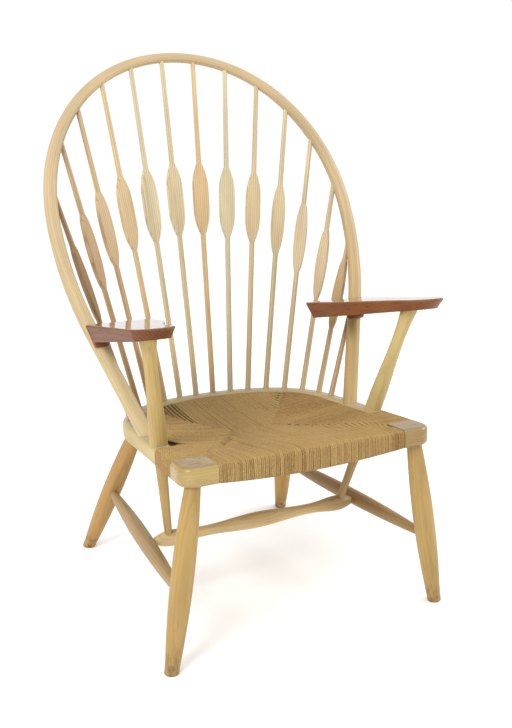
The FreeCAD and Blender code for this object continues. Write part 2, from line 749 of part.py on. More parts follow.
def arm_post():
    seat = post_foot.distanceToPoint(post_seat)
    top = post_foot.distanceToPoint(post_top)
    tenon = cross_swell_diameter / 2
    under = seat - rail_depth
    frame = along(post_foot, post_top)
    lower = turned([[(0.0, post_tenon_diameter), (tenon, post_tenon_diameter)],
                    [(tenon, post_tenon_diameter), (under, post_shaft_diameter)],
                    [(under, post_shaft_diameter), (seat + post_seat_diameter, post_shaft_diameter)]])
    neck = top - post_neck_drop
    shoulder = seat + post_seat_diameter / 2
    between = (shoulder + neck) / 2
    upper = turned([[(seat - post_seat_diameter, post_seat_diameter), (shoulder, post_seat_diameter)],
                    [(shoulder, post_seat_diameter), (between, post_waist_diameter),
                     (neck, post_neck_diameter), (top, post_top_diameter)],
                    [(top, post_top_diameter), (top + post_top_diameter, post_top_diameter)]])
    upper = moved(upper, frame).cut(below(SEAT, -rail_edge_radius)).common(below(ARM_UNDERSIDE))
    upper = upper.cut(moved(rail_bar(glue_gap), SEAT))
    way = (post_top - post_foot).normalize()
    arm_tenon = rod(post_top - way * post_arm_tenon_depth, post_top + way * post_arm_tenon_depth,
                    post_arm_tenon_diameter)
    return upper.fuse(moved(lower, frame)).fuse(arm_tenon).removeSplitter()


def arm_outline(inset=0.0, front_inset=0.0):
    """The right arm from above, in the arm's own axes, running on a little behind the bow."""
    half = arm_front_width / 2 - inset
    round_start = arm_front_round - arm_length
    front = []
    for step in range(arm_round_steps + 1):
        angle = 180 * step / arm_round_steps
        front.append(Vector(arm_front_x + half * cos(angle),
                            round_start - (arm_front_round - front_inset) * sin(angle), 0))
    outer_rear = Vector(arm_rear_outer_x - inset, 0, 0)
    outer_side = Vector(arm_outer_x - inset, -arm_outer_from_bow, 0)
    inner_side = Vector(arm_inner_x + inset, -arm_inner_from_bow, 0)
    inner_rear = Vector(arm_rear_inner_x + inset, 0, 0)
    forward = Vector(0, -1, 0)
    backward = Vector(0, 1, 0)
    behind = backward * bow_foot_diameter
    return Part.Wire([smooth_edge([outer_rear, outer_side, front[0]], outer_side - outer_rear, forward),
                      smooth_edge(front, forward, backward),
                      smooth_edge([front[-1], inner_side, inner_rear], backward, inner_rear - inner_side),
                      Part.makeLine(inner_rear, inner_rear + behind),
                      Part.makeLine(inner_rear + behind, outer_rear + behind),
                      Part.makeLine(outer_rear + behind, outer_rear)])


def arm(hoop):
    deep = Placement(Vector(0, 0, -arm_boss_drop - arm_boss_radius), Rotation())
    lowest = arm_outline(arm_side_lean, arm_front_lean)
    lowest = moved(lowest, ARM.inverse().multiply(ARM_UNDERSIDE).multiply(deep))
    shape = Part.makeLoft([arm_outline(), lowest], True, True)
    shape = rounded(shape, arm_edge_radius,
                    lambda edge: edge.BoundBox.ZMin > -tiny and edge.BoundBox.YMax < tiny)
    shape = moved(shape, ARM)
    upper = BOW.multVec(bow_place(bow_distance(arm_on_bow))[0])
    lower = BOW.multVec(bow_place(bow_distance(arm_on_bow - arm_rear_thickness))[0])
    middle = ARM_UNDERSIDE.inverse().multVec(on_plane(upper, lower, ARM_UNDERSIDE))
    boss_top = middle + Vector(0, 0, arm_front_thickness)
    boss = rod(boss_top, middle - Vector(0, 0, arm_boss_drop), arm_boss_width)
    boss = rounded(boss, arm_boss_radius, lambda edge: edge.BoundBox.ZMax < tiny - arm_boss_drop)
    shape = shape.cut(below(ARM_UNDERSIDE).cut(moved(boss, ARM_UNDERSIDE)))
    shape = shape.cut(below(BOW, arm_lap)).cut(hoop)
    way = (post_top - post_foot).normalize()
    hole = rod(post_top - way * post_arm_tenon_depth, post_top + way * (post_arm_tenon_depth + glue_gap),
               post_arm_tenon_diameter + 2 * glue_gap)
    start, end = dowel_line()
    return shape.cut(hole).cut(rod(start, end, dowel_diameter + 2 * glue_gap))


def main():
    os.makedirs("parts", exist_ok=True)
    pieces = {"back_bow": back_bow(),
              "arm_dowels": arm_dowels(),
              "seat_back_rail": seat_back_rail(),
              "seat_front_rail": moved(front_rail_bar(), SEAT),
              "cord_seat": cord_seat(),
              "cord_nails": cord_nails(),
              "cross_stretcher": cross_stretcher()}
    leg_shape, wedge = front_leg()
    pieces["leg_wedges"] = Part.makeCompound([wedge, mirrored(wedge)])
    pairs = {"seat_corner_block": corner_block_right(),
             "leg_front": leg_shape,
             "leg_rear": rear_leg(),
             "side_stretcher": side_stretcher(),
             "arm_post": arm_post(),
             "arm": arm(bow_hoop(glue_gap))}
    for name, shape in pairs.items():
        pieces[name + "_right"] = shape
        pieces[name + "_left"] = mirrored(shape)
    for pair in range(1, spindle_pairs + 1):
        shape = spindle(pair)
        pieces["spindle_right_%d" % pair] = shape
        pieces["spindle_left_%d" % pair] = mirrored(shape)
    for name, shape in pieces.items():
        shape.exportStep("parts/%s.step" % name)
        print(name, "solids", len(shape.Solids), "valid", shape.isValid(), "volume %.0f" % shape.Volume)


main()
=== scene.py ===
import math
import random

import bpy
import numpy as np
from mathutils import Euler, Matrix, Vector


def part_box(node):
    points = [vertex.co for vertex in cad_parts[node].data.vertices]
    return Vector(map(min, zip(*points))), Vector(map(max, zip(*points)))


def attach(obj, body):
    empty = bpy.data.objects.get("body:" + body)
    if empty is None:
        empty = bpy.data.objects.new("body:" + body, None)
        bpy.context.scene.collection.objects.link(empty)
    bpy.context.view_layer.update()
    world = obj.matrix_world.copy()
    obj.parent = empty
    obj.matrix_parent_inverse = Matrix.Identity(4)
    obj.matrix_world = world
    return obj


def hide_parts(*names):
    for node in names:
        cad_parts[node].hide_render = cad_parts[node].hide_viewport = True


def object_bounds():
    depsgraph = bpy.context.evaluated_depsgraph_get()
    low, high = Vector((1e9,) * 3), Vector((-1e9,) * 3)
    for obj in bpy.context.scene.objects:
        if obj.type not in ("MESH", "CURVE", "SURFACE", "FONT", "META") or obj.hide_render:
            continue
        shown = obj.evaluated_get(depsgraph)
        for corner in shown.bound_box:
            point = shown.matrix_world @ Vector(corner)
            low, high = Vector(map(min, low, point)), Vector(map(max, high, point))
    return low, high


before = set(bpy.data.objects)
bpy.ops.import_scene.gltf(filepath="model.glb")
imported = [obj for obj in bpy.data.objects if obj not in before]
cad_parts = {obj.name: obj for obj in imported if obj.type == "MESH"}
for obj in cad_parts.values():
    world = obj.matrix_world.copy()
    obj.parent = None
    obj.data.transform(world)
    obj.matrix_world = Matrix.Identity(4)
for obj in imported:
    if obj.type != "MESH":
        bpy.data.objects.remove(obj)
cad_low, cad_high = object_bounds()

# A hoop-back lounge chair with pale wood, dark arms and a woven cord seat, dressed over its CAD solids.
# Metres. +Z is up, the chair faces -Y and right is +X.

# Camera, as in the photograph.
CAMERA_PLACE = (-0.82676, -1.63604, 0.91319)
CAMERA_YAW = math.radians(27.75)
CAMERA_DROP = math.radians(14.466)
CAMERA_LENS = 48.1
CAMERA_REACH = 50.0

# Stage and light.
FLOOR_RADIUS = 9.0
FLOOR_SIDES = 64
FLOOR_WHITE = (0.985, 0.985, 0.985, 1)
FLOOR_ROUGHNESS = 0.9
FLOOR_GLOSS = 0.1
SKY_WHITE = (1, 1, 1, 1)
SKY_STRENGTH = 1.02
LIGHT_SIZE = 1.5
KEY_PLACE = (-2.4, -1.7, 2.5)
KEY_POWER = 80.0
FILL_PLACE = (2.7, -0.7, 1.9)
FILL_POWER = 42.0

# Seat frame. Seat axes are u to the right, v to the rear and w up from the rail's top plane.
SEAT_HEIGHT = 0.345
SEAT_TILT = math.radians(3)
RAIL_WIDTH = 0.034
RAIL_DEPTH = 0.0355
FRONT_BELLY = 0.009
REAR_REACH = 0.171
REAR_RADIUS = 0.340
REAR_HALF_ANGLE = math.radians(19.853)
BEND_RADIUS = 0.150
BEND_U = 0.064525
BEND_V = 0.009708
HALF_WIDTH = 0.2155
SIDE_SPLAY = math.radians(3.8)
FRONT_REACH = 0.289
BLOCK_LENGTH = 0.057
BLOCK_INNER = 0.186

# Bow, in a plane that leans back through its feet.
BOW_LEAN = math.radians(26.75)
BOW_FOOT = (0, -0.053926, 0.347826)
BOW_HALF_WIDTH = 0.3185
BOW_WIDEST = 0.4105
BOW_RISE = 0.345
BOW_FOOT_IN = 0.098

# Woven cord. Cords lie in pairs, and four panels of them meet on lines from the corners to a bridge. A
# wander is a random range to either side, and a slot is where cords start short of their seam. A hand is -1
# for the left and 1 for the right.
CORD_RADIUS = 0.00172
CORD_SIDES = 8
RADIUS_SHARES = (0.95, 1.03)
PAIR_PITCH = 0.0071
PAIR_HALF = 0.00166
PAIR_PINCH = 0.88
PAIR_WANDER = 0.00022
LIFT_WANDER = 0.0004
PANEL_THICKNESS = 0.014
BRIDGE_HALF = 0.042
BRIDGE_V = -0.048
REAR_CORNER = (0.155, 0.108)
DISH_DEPTH = 0.022
DISH_RADIUS = 0.205
DISH_MIDDLE = -0.056
CORD_SAG = 0.0025
CORD_GAP = 0.0004
DIVE_RADIUS = 0.003
WRAP_TURN = 0.0072
WRAP_LEAN = 0.0010
WRAP_END = 0.1505
LEAN_POWER = 4
EDGE_TURN = 0.004
EDGE_DROP = 0.0015
POST_SPLIT = 0.128
NAIL_START = {-1: 0.094, 1: 0.143}
SLOT_REACH = (0.055, 0.150)
SLOT_DEPTH = 0.0075
FRONT_SLOTS = (-0.118, -0.070)
FRONT_SLOT_DEPTH = 0.022
FAN_START = -0.085
FAN_PITCH = 0.0084
FAN_PINCH = 0.3
FAN_SPREAD = 0.55
CURVE_POWER = 7
SHORTEST_RUN = 0.012
RUN_STEPS = 7
TURN_STEPS = 5
WEAVE_SEED = 7

# Tones of the cords, from 0 for the light colour to 1 for the dark one. The darker tone of their wraps
# round a rail is painted shade on the rail's front and outer faces.
TONE_WANDER = 0.12
FRONT_TONE = 0.28
FRONT_TONE_WANDER = 0.15
# The front wraps' darker tone, deeper towards the right, is painted shade on the rail's front face.
FRONT_WRAP_SHADE = 0.62
FRONT_WRAP_RIGHT = 0.3
FRONT_WRAP_WANDER = 0.38
# The rear panel's darker tone is painted shade under the back and arms, deepest on the fanned cords.
REAR_SHADED_TONE = 0.4
FAN_SHADED_TONE = 0.9
REAR_TONE_WANDER = 0.1
SIDE_TONE = 0.6
SIDE_HAND_TONE = 0.2
SIDE_TONE_WANDER = 0.2
# The side wraps' darker tone is painted shade on the rails' outer faces.
SIDE_WRAP_SHADE = 0.45

# Paper that packs the seat.
PACKING_STEPS = 24
PACKING_INSET = 0.004
PACKING_HALF_WIDTH = 0.155
PACKING_HALF_THICKNESS = 0.0004

# Wood figure. Scales count waves per metre, twice across the grain and once along it. Ranges give two values
# of a noise and what they turn into. At its scale the wave texture has one ring to each unit of length.
RING_STRETCH = 0.02
RING_WAVE = {"Scale": math.pi / 10, "Distortion": 2.8, "Detail": 2.0, "Detail Scale": 0.3,
             "Detail Roughness": 0.55}
LATE_WOOD_POWER = 2.2
FIBRE_SCALE = (2400, 2400, 60)
FIBRE_SPAN = (0.3, 0.7)
PORE_RANGE = (0.52, 0.74, 0.0, 0.28)
STREAK_SCALE = (330, 330, 9)
STREAK_RANGE = (0.54, 0.72, 0.0, 0.8)
CLOUD_SCALE = (40, 40, 6)
CLOUD_RANGE = (0.3, 0.7, 0.86, 1.08)
RING_RELIEF = -0.35
WOOD_BUMP = 0.12
RELIEF_DEPTH = 0.0004
PITH_RANGE = (0.12, 0.2)
TRAVEL_RANGE = (-0.5, 0.5)
BLOCK_ACROSS = (0, 0.35, 1)
BLOCK_ALONG = (1, 0, 0)

# Polish, grey tops and scuffs. Facing is how far a surface faces up, from 0 to 1. The grey top is a painted
# highlight on the back rail.
POLISH_FACING = (0.55, 0.9)
POLISH_ROUGHNESS = 0.06
POLISH_IOR = 1.8
TOP_GREY_FACING = (0.7, 0.99)
TOP_GREY_PATCH_SCALE = 34
TOP_GREY_PATCHES = (0.36, 0.62, 0.35, 1.0)
FOOT_DIRT = (0.13, 0.068, 0.027, 1)
FOOT_DIRT_HEIGHTS = (0.002, 0.048)
FOOT_PATCH_SCALE = (120, 120, 60)
FOOT_PATCHES = (0.42, 0.62, 0.15, 1.0)


def seat_point(u, v, w):
    """A point of the seat's own axes, in the chair."""
    return (u, v * math.cos(SEAT_TILT) + w * math.sin(SEAT_TILT),
            SEAT_HEIGHT - v * math.sin(SEAT_TILT) + w * math.cos(SEAT_TILT))


# Node helpers.
def add(tree, kind, links=(), values=(), **settings):
    """A shader node with its settings, constant inputs and links."""
    made = tree.nodes.new(kind)
    for name, value in settings.items():
        setattr(made, name, value)
    for key, value in dict(values).items():
        made.inputs[key].default_value = value
    for key, socket in dict(links).items():
        tree.links.new(socket, made.inputs[key])
    return made


def math_node(tree, operation, first, second=None):
    """The result of a sum on sockets or numbers."""
    made = tree.nodes.new("ShaderNodeMath")
    made.operation = operation
    for place, value in enumerate((first, second)):
        if isinstance(value, bpy.types.NodeSocket):
            tree.links.new(value, made.inputs[place])
        elif value is not None:
            made.inputs[place].default_value = value
    return made.outputs[0]


def new_material(name):
    """A new material, its node tree and its shader."""
    material = bpy.data.materials.new(name)
    material.use_nodes = True
    return material, material.node_tree, material.node_tree.nodes["Principled BSDF"]


def object_coordinates(tree):
    return add(tree, "ShaderNodeTexCoord").outputs["Object"]


def ranged(tree, socket, low, high, out_low, out_high):
    """A range of a socket's values, turned into another range and held inside it."""
    values = {1: low, 2: high, 3: out_low, 4: out_high}
    return add(tree, "ShaderNodeMapRange", {0: socket}, values).outputs[0]


def scaled_noise(tree, vector, scale, detail, roughness=0.5):
    """Noise with its own scale along each axis of a vector."""
    stretched = add(tree, "ShaderNodeMapping", {0: vector}, {"Scale": scale}).outputs[0]
    return add(tree, "ShaderNodeTexNoise", {0: stretched},
               {"Scale": 1.0, "Detail": detail, "Roughness": roughness}).outputs[0]


def even_noise(tree, scale, detail, roughness=0.5):
    """Noise with the same scale along each axis of a piece's coordinates."""
    return scaled_noise(tree, object_coordinates(tree), (scale, scale, scale), detail, roughness)


def mixed(tree, factor, first, second, blend="MIX"):
    """A mix of two colours, each a socket or a constant."""
    made = add(tree, "ShaderNodeMix", data_type="RGBA", blend_type=blend)
    for place, value in ((0, factor), (6, first), (7, second)):
        if isinstance(value, bpy.types.NodeSocket):
            tree.links.new(value, made.inputs[place])
        else:
            made.inputs[place].default_value = value
    return made.outputs[2]


# Grain directions. Each gives a vector whose Z runs along the grain and whose X crosses the growth rings.
def straight_grain(middle, across, along, pith, travel):
    """Straight grain whose pith lies off the piece, so that its rings show as fine lines."""
    along = Vector(along).normalized()
    across = Vector(across)
    across = (across - along * across.dot(along)).normalized()
    turn = Matrix((across, along.cross(across), along))
    place = Vector((pith, 0, travel)) - turn @ Vector(middle)

    def build(tree):
        return add(tree, "ShaderNodeMapping", {0: object_coordinates(tree)},
                   {"Rotation": turn.to_euler("XYZ"), "Location": place}).outputs[0]
    return build


def turned_about_x(tree, angle, origin):
    """Object coordinates in a frame that is turned about X and starts at an origin."""
    turn = Euler((angle, 0, 0))
    start = -(turn.to_matrix() @ Vector(origin))
    made = add(tree, "ShaderNodeMapping", {0: object_coordinates(tree)},
               {"Rotation": turn, "Location": start})
    return add(tree, "ShaderNodeSeparateXYZ", {0: made.outputs[0]}).outputs


def bow_grain(tree):
    """Grain that follows the hoop, round its upper half and down its legs."""
    splay_power = 1.5
    across, height, depth = turned_about_x(tree, BOW_LEAN - math.pi / 2, BOW_FOOT)
    across = math_node(tree, "ABSOLUTE", across)
    above = math_node(tree, "SUBTRACT", height, BOW_WIDEST)
    upper = math_node(tree, "MULTIPLY", math_node(tree, "MAXIMUM", above, 0.0), BOW_HALF_WIDTH / BOW_RISE)
    lower = math_node(tree, "MINIMUM", above, 0.0)
    square = math_node(tree, "ADD", math_node(tree, "POWER", across, 2.0),
                       math_node(tree, "POWER", upper, 2.0))
    share = math_node(tree, "DIVIDE", lower, -BOW_WIDEST)
    splay = math_node(tree, "MULTIPLY", math_node(tree, "POWER", share, splay_power), BOW_FOOT_IN)
    radius = math_node(tree, "ADD", math_node(tree, "SQRT", square), splay)
    angle = math_node(tree, "ARCTAN2", upper, across)
    along = math_node(tree, "ADD", math_node(tree, "MULTIPLY", angle, BOW_HALF_WIDTH), lower)
    return add(tree, "ShaderNodeCombineXYZ", {0: radius, 1: depth, 2: along}).outputs[0]


def rail_grain(tree):
    """Grain that follows the seat's bent rail."""
    squareness = 2.6
    across, back, up = turned_about_x(tree, SEAT_TILT, (0, 0, SEAT_HEIGHT))
    across = math_node(tree, "ABSOLUTE", across)
    rear = math_node(tree, "MAXIMUM", back, 0.0)
    front = math_node(tree, "MINIMUM", back, 0.0)
    wide = math_node(tree, "POWER", math_node(tree, "DIVIDE", across, HALF_WIDTH), squareness)
    deep = math_node(tree, "POWER", math_node(tree, "DIVIDE", rear, REAR_REACH), squareness)
    reach = math_node(tree, "POWER", math_node(tree, "ADD", wide, deep), 1 / squareness)
    radius = math_node(tree, "MULTIPLY", reach, HALF_WIDTH)
    radius = math_node(tree, "ADD", radius, math_node(tree, "MULTIPLY", front, math.tan(SIDE_SPLAY)))
    angle = math_node(tree, "ARCTAN2", rear, across)
    along = math_node(tree, "ADD", math_node(tree, "MULTIPLY", angle, HALF_WIDTH), front)
    return add(tree, "ShaderNodeCombineXYZ", {0: radius, 1: up, 2: along}).outputs[0]


# Woods. Each has the colours of its early and late wood, and its rings per metre across the grain. A grey
# top colour shows where a piece faces up, and is a painted highlight on the back rail. A scuffed piece is
# dark at its foot. Low tints, for the left and the right, come in between two heights, and the left one
# turns into the right one over the hand range of X.
def wood_look(light, dark, rings=230, ring_share=0.65, **others):
    look = {"light": light + (1,), "dark": dark + (1,), "rings": rings, "ring_share": ring_share,
            "roughness": (0.36, 0.52), "gloss": 0.3, "polish": None, "worn": None, "scuffed": False,
            "low_tint": None, "hand_range": (-0.1, 0.1)}
    look.update(others)
    return look


# A piece has the first of these looks whose name begins its own.
LOOKS = {
    "back_bow": wood_look((0.468, 0.354, 0.200), (0.368, 0.254, 0.122), 250,
                          low_tint=((1.06, 1.09, 1.04, 1), (0.95, 0.88, 0.66, 1)), low_range=(0.45, 0.75)),
    "spindle": wood_look((0.535, 0.440, 0.284), (0.325, 0.236, 0.120), 220, 0.8,
                         low_tint=((1.04, 0.99, 0.92, 1), (0.92, 0.9, 0.9, 1)), low_range=(0.42, 0.72)),
    # The back rail's grey top colour is a painted highlight, the pale sheen on its top face.
    "seat_back_rail": wood_look((0.470, 0.364, 0.159), (0.360, 0.256, 0.0945),
                                worn=(0.345, 0.30, 0.25, 1), worn_share=0.85),
    "seat_corner_block": wood_look((0.364, 0.256, 0.091), (0.273, 0.172, 0.047), 190, 0.45,
                                   worn=(0.213, 0.145, 0.087, 1), worn_share=0.85,
                                   roughness=(0.22, 0.34), gloss=0.42),
    "seat": wood_look((0.58, 0.39, 0.135), (0.43, 0.26, 0.068)),
    "leg_front": wood_look((0.361, 0.238, 0.0792), (0.246, 0.143, 0.0352), 190, 0.45,
                           worn=(0.27, 0.20, 0.142, 1), worn_share=0.7, scuffed=True),
    "leg_rear": wood_look((0.413, 0.248, 0.0804), (0.292, 0.157, 0.041), 190, 0.45, scuffed=True),
    "side_stretcher": wood_look((0.328, 0.224, 0.104), (0.235, 0.143, 0.054)),
    "cross_stretcher": wood_look((0.502, 0.368, 0.171), (0.37, 0.241, 0.0931), hand_range=(0.09, 0.19),
                                 low_tint=((1.12, 1.12, 1.16, 1), (0.62, 0.56, 0.48, 1)),
                                 low_range=(0.5, 0.6)),
    # The arm posts' low tint darkens them below the seat's underside: painted shade under the seat.
    "arm_post": wood_look((0.461, 0.335, 0.13), (0.335, 0.217, 0.0651), 190, 0.45,
                          low_tint=((0.86, 0.82, 0.83, 1), (0.72, 0.64, 0.62, 1)), low_range=(0.29, 0.34)),
    "arm_dowels": wood_look((0.461, 0.335, 0.13), (0.335, 0.217, 0.0651)),
    "leg_wedges": wood_look((0.20, 0.115, 0.075), (0.09, 0.048, 0.033), 260),
    "arm": wood_look((0.172, 0.064, 0.026), (0.066, 0.021, 0.0075), 240, 0.6,
                     roughness=(0.34, 0.46), gloss=0.12, polish=1.0),
}

# How single pieces differ in colour from others of their kind.
TINTS = {
    "spindle_left_1": (1.0, 1.01, 0.96), "spindle_right_1": (1.0, 0.88, 0.74),
    "spindle_left_2": (0.99, 1.03, 1.02), "spindle_right_2": (0.98, 1.03, 1.03),
    "spindle_left_3": (0.99, 0.90, 0.78), "spindle_right_3": (1.0, 0.95, 0.88),
    "spindle_left_4": (0.90, 0.80, 0.69), "spindle_right_4": (1.0, 0.99, 0.92),
    "spindle_left_5": (0.79, 0.68, 0.56), "spindle_right_5": (1.02, 0.98, 0.93),
    "spindle_left_6": (0.58, 0.47, 0.36), "spindle_right_6": (1.01, 0.96, 0.90),
    "spindle_left_7": (0.56, 0.46, 0.36), "spindle_right_7": (0.92, 0.80, 0.68),
    "spindle_left_8": (0.76, 0.66, 0.55), "spindle_right_8": (0.86, 0.76, 0.66),
    "seat_corner_block_right": (0.72, 0.66, 0.62), "side_stretcher_right": (0.97, 0.90, 0.80),
    "arm_post_right": (1.06, 1.12, 1.2), "arm_right": (1.25, 1.32, 1.27),
    "arm_post_left": (0.96, 0.94, 0.90),
    "leg_rear_left": (0.93, 0.91, 0.90), "leg_rear_right": (1.07, 1.05, 0.90),
}


def tinted(look, red, green, blue):
    """A look whose colours are multiplied, for one piece among its like."""
    changed = dict(look)
    for key in ("light", "dark"):
        colour = look[key]
        changed[key] = (colour[0] * red, colour[1] * green, colour[2] * blue, 1)
    return changed


def facing_up(tree):
    """How far a piece's surface faces up."""
    normal = add(tree, "ShaderNodeNewGeometry").outputs["Normal"]
    return add(tree, "ShaderNodeSeparateXYZ", {0: normal}).outputs[2]


def worn_top(tree, colour, look):
    """Greyer wood in patches where a piece faces up. On the back rail this is a painted highlight on its top.
    """
    patches = ranged(tree, even_noise(tree, TOP_GREY_PATCH_SCALE, 3.0), *TOP_GREY_PATCHES)
    level = ranged(tree, facing_up(tree), *TOP_GREY_FACING, 0.0, look["worn_share"])
    return mixed(tree, math_node(tree, "MULTIPLY", level, patches), colour, look["worn"])


def dirty_foot(tree, colour):
    """Scuffed, darker wood just above the floor."""
    height = add(tree, "ShaderNodeSeparateXYZ", {0: object_coordinates(tree)}).outputs[2]
    noise = scaled_noise(tree, object_coordinates(tree), FOOT_PATCH_SCALE, 3.0)
    patches = ranged(tree, noise, *FOOT_PATCHES)
    level = ranged(tree, height, *FOOT_DIRT_HEIGHTS, 1.0, 0.0)
    return mixed(tree, math_node(tree, "MULTIPLY", level, patches), colour, FOOT_DIRT)


def low_tinted(tree, colour, look):
    """A colour with the look's low tints multiplied in."""
    place = add(tree, "ShaderNodeSeparateXYZ", {0: object_coordinates(tree)}).outputs
    share = ranged(tree, place[2], *look["low_range"], 1.0, 0.0)
    hand = ranged(tree, place[0], *look["hand_range"], 0.0, 1.0)
    tint = mixed(tree, hand, *look["low_tint"])
    return mixed(tree, share, colour, tint, "MULTIPLY")


def wood_material(name, grain, look):
    """A wood with growth rings, open pores and slow changes of tone, all running along the grain."""
    material, tree, shader = new_material(name)
    vector = grain(tree)
    ring_scale = (look["rings"], look["rings"], look["rings"] * RING_STRETCH)
    ring_vector = add(tree, "ShaderNodeMapping", {0: vector}, {"Scale": ring_scale}).outputs[0]
    rings = add(tree, "ShaderNodeTexWave", {0: ring_vector}, RING_WAVE,
                wave_type="RINGS", rings_direction="Z", wave_profile="SAW").outputs["Fac"]
    late = math_node(tree, "POWER", rings, LATE_WOOD_POWER)
    fibres = scaled_noise(tree, vector, FIBRE_SCALE, 3.0, 0.6)
    clouds = scaled_noise(tree, vector, CLOUD_SCALE, 2.0)
    pores = ranged(tree, fibres, *PORE_RANGE)
    streaks = ranged(tree, scaled_noise(tree, vector, STREAK_SCALE, 3.0, 0.6), *STREAK_RANGE)
    depth = math_node(tree, "MAXIMUM", math_node(tree, "MULTIPLY", late, look["ring_share"]), pores)
    depth = math_node(tree, "MAXIMUM", depth, streaks)
    colour = mixed(tree, depth, look["light"], look["dark"])
    tone = ranged(tree, clouds, *CLOUD_RANGE)
    tone_colour = add(tree, "ShaderNodeCombineXYZ", {0: tone, 1: tone, 2: tone}).outputs[0]
    colour = mixed(tree, 1.0, colour, tone_colour, "MULTIPLY")
    if look["low_tint"]:
        colour = low_tinted(tree, colour, look)
    # Greyer where a piece faces up: a painted highlight on the back rail.
    if look["worn"]:
        colour = worn_top(tree, colour, look)
    if look["scuffed"]:
        colour = dirty_foot(tree, colour)
    tree.links.new(colour, shader.inputs["Base Color"])
    tree.links.new(ranged(tree, fibres, *FIBRE_SPAN, *look["roughness"]), shader.inputs["Roughness"])
    relief = math_node(tree, "ADD", math_node(tree, "MULTIPLY", rings, RING_RELIEF), fibres)
    bump = add(tree, "ShaderNodeBump", {"Height": relief}, {"Strength": WOOD_BUMP, "Distance": RELIEF_DEPTH})
    tree.links.new(bump.outputs[0], shader.inputs["Normal"])
    shader.inputs["Specular IOR Level"].default_value = look["gloss"]
    if look["polish"]:
        polish = ranged(tree, facing_up(tree), *POLISH_FACING, 0.0, look["polish"])
        tree.links.new(polish, shader.inputs["Coat Weight"])
        shader.inputs["Coat Roughness"].default_value = POLISH_ROUGHNESS
        shader.inputs["Coat IOR"].default_value = POLISH_IOR
    return material


def steel_material():
    bright = (0.50, 0.49, 0.47, 1)
    dull = (0.30, 0.28, 0.26, 1)
    noise_scale = 900
    roughness_range = (0.3, 0.7, 0.28, 0.5)
    material, tree, shader = new_material("nail_steel")
    noise = even_noise(tree, noise_scale, 3.0)
    tree.links.new(mixed(tree, noise, bright, dull), shader.inputs["Base Color"])
    tree.links.new(ranged(tree, noise, *roughness_range), shader.inputs["Roughness"])
    shader.inputs["Metallic"].default_value = 1.0
    return material


def cord_material():
    """Twisted paper cord: plies that wind round each cord, with painted shade in the grooves between them,
    and a tone of its own for each one.
    """
    plies = 3
    ply_lead = 0.012
    light = (0.495, 0.336, 0.126, 1)
    dark = (0.262, 0.147, 0.043, 1)
    cloud_scale = 22
    cloud_share = 0.35
    tone_share = 0.65
    # Painted shade: a darker colour in the grooves between plies.
    groove_shade_colour = (0.16, 0.085, 0.026, 1)
    groove_shade_range = (-1.0, -0.2, 0.45, 0.0)
    mottle_tint = (0.72, 0.68, 0.62, 1)
    mottle_scale = 190
    mottle_range = (0.3, 0.7, 0.0, 0.6)
    fleck_colour = (0.52, 0.385, 0.185, 1)
    fleck_scale = 420
    fleck_range = (0.52, 0.70, 0.0, 0.55)
    fleck_relief = 0.6
    bump_strength = 0.55
    roughness = 0.66
    gloss = 0.25
    material, tree, shader = new_material("paper_cord")
    uv = add(tree, "ShaderNodeSeparateXYZ", {0: add(tree, "ShaderNodeTexCoord").outputs["UV"]}).outputs
    turns = math_node(tree, "ADD", math_node(tree, "MULTIPLY", uv[0], plies),
                      math_node(tree, "DIVIDE", uv[1], ply_lead / plies))
    wave = math_node(tree, "SINE", math_node(tree, "MULTIPLY", turns, 2 * math.pi))
    flecks = even_noise(tree, fleck_scale, 3.0, 0.65)
    clouds = even_noise(tree, cloud_scale, 2.0)
    tone = add(tree, "ShaderNodeAttribute", attribute_name="cord_tone").outputs["Fac"]
    share = math_node(tree, "ADD", math_node(tree, "MULTIPLY", clouds, cloud_share),
                      math_node(tree, "MULTIPLY", tone, tone_share))
    colour = mixed(tree, share, light, dark)
    # Painted shade in the grooves between plies.
    colour = mixed(tree, ranged(tree, wave, *groove_shade_range), colour, groove_shade_colour)
    mottle = ranged(tree, even_noise(tree, mottle_scale, 2.0), *mottle_range)
    colour = mixed(tree, mottle, colour, mottle_tint, "MULTIPLY")
    colour = mixed(tree, ranged(tree, flecks, *fleck_range), colour, fleck_colour)
    tree.links.new(colour, shader.inputs["Base Color"])
    shader.inputs["Roughness"].default_value = roughness
    shader.inputs["Specular IOR Level"].default_value = gloss
    relief = math_node(tree, "ADD", wave, math_node(tree, "MULTIPLY", flecks, fleck_relief))
    bump = add(tree, "ShaderNodeBump", {"Height": relief},
               {"Strength": bump_strength, "Distance": RELIEF_DEPTH})
    tree.links.new(bump.outputs[0], shader.inputs["Normal"])
    return material


def packing_material():
    light = (0.12, 0.066, 0.026, 1)
    dark = (0.055, 0.029, 0.012, 1)
    noise_scale = 160
    roughness = 0.85
    material, tree, shader = new_material("packing_paper")
    colour = mixed(tree, even_noise(tree, noise_scale, 4.0), light, dark)
    tree.links.new(colour, shader.inputs["Base Color"])
    shader.inputs["Roughness"].default_value = roughness
    return material


# Woven seat.
def side_u(v, offset):
    """The rail's straight side at v, offset outwards from its centreline."""
    return HALF_WIDTH - v * math.tan(SIDE_SPLAY) + offset / math.cos(SIDE_SPLAY)


def rail_u(v, inset):
    """The rail's right side at v, inset from its centreline, round the bend too."""
    radius = BEND_RADIUS - inset
    if v < BEND_V + radius * math.sin(SIDE_SPLAY):
        return side_u(v, -inset)
    return BEND_U + math.sqrt(radius ** 2 - (v - BEND_V) ** 2)


def rail_v(u, inset):
    """The rail's rear at u, inset from its centreline, round the bends too."""
    across = abs(u)
    if across < (REAR_RADIUS - inset) * math.sin(REAR_HALF_ANGLE):
        return REAR_REACH - REAR_RADIUS + math.sqrt((REAR_RADIUS - inset) ** 2 - across ** 2)
    return BEND_V + math.sqrt((BEND_RADIUS - inset) ** 2 - (across - BEND_U) ** 2)


